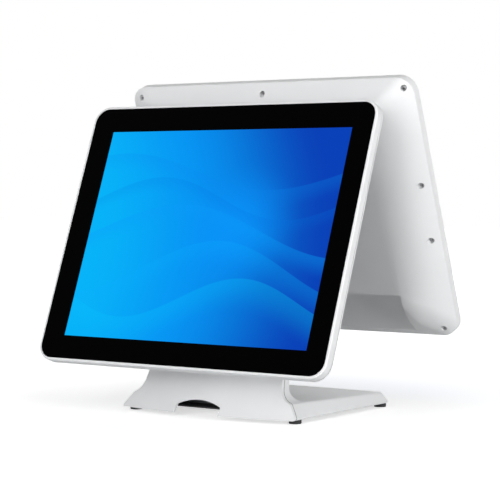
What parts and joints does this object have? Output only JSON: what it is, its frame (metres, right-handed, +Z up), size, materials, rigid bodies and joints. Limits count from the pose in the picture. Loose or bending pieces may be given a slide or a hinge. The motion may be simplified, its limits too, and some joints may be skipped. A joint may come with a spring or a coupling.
{
  "type": "pos touchscreen terminal",
  "caption": "Two-sided retail till: two tilting touchscreen heads, each with a black-bordered glass front and sloping shell, on a bowed stand with a low foot.",
  "frame": {"origin": "on the surface it stands on, at the middle of the object's bounding box", "axes": "+Z up, -Y towards the operator who faces the front head, +X to the operator's right"},
  "size_m": [0.3598, 0.2688, 0.3471],
  "materials": {
    "cover_glass": "gloss, printed black from behind",
    "foam": "matt",
    "lcd_cell": "smooth",
    "backlight_case": "matt",
    "white_shell": "satin, fine moulded texture",
    "white_paint": "satin white powder coat",
    "zinc_steel": "zinc plated sheet",
    "black_steel": "satin black powder coat",
    "screw_steel": "plated",
    "socket_plastic": "satin",
    "circuit_board": "solder mask",
    "chip_black": "matt",
    "bare_aluminium": "satin",
    "button_plastic": "satin",
    "rubber": "matt"
  },
  "bodies": {
    "stand": {"stand_casting": "white_paint", "stand_front_panel": "white_shell", "base_plate": "black_steel", "ballast_plate": "black_steel", "rubber_pads": "rubber", "plate_screws": "screw_steel", "hinge_carrier": "black_steel", "carrier_bolts": "screw_steel", "front_hinge_shaft": "screw_steel", "front_friction_washers": "screw_steel", "front_spring_washers": "screw_steel", "front_hinge_nuts": "screw_steel", "rear_hinge_shaft": "screw_steel", "rear_friction_washers": "screw_steel", "rear_spring_washers": "screw_steel", "rear_hinge_nuts": "screw_steel"},
    "front_head": {"front_cover_glass": "cover_glass", "front_panel_gasket": "foam", "front_display_cell": "lcd_cell", "front_backlight_unit": "backlight_case", "front_head_rim": "white_shell", "front_chassis": "zinc_steel", "front_head_shell": "white_shell", "front_port_plate": "zinc_steel", "front_port_sockets": "socket_plastic", "front_mount_bridge": "zinc_steel", "front_hinge_bracket": "black_steel", "front_cover_screws": "screw_steel", "front_bracket_screws": "screw_steel", "main_board": "circuit_board", "main_board_standoffs": "screw_steel", "processor": "chip_black", "heat_sink": "bare_aluminium", "storage_drive": "bare_aluminium", "power_switch": "chip_black"},
    "rear_head": {"rear_cover_glass": "cover_glass", "rear_panel_gasket": "foam", "rear_display_cell": "lcd_cell", "rear_backlight_unit": "backlight_case", "rear_head_rim": "white_shell", "rear_chassis": "zinc_steel", "rear_head_shell": "white_shell", "rear_port_plate": "zinc_steel", "rear_port_sockets": "socket_plastic", "rear_mount_bridge": "zinc_steel", "rear_hinge_bracket": "black_steel", "rear_cover_screws": "screw_steel", "rear_bracket_screws": "screw_steel", "display_board": "circuit_board", "display_board_standoffs": "screw_steel"},
    "power_button": {"power_button": "button_plastic"}
  },
  "joints": [
    {"name": "front_display_tilt", "type": "hinge", "parent": "stand", "child": "front_head", "pos_m": [0, -0.03855, 0.1698], "axis": [1, 0, 0], "range_deg": [-5, 15]},
    {"name": "rear_display_tilt", "type": "hinge", "parent": "stand", "child": "rear_head", "pos_m": [0, 0.03855, 0.1971], "axis": [-1, 0, 0], "range_deg": [-5, 15]},
    {"name": "power_button_press", "type": "slide", "parent": "front_head", "child": "power_button", "axis": [-0.5878, -0.7565, 0.2866], "range_m": [0, 0.0008], "stiffness_N_per_m": 900}
  ]
}
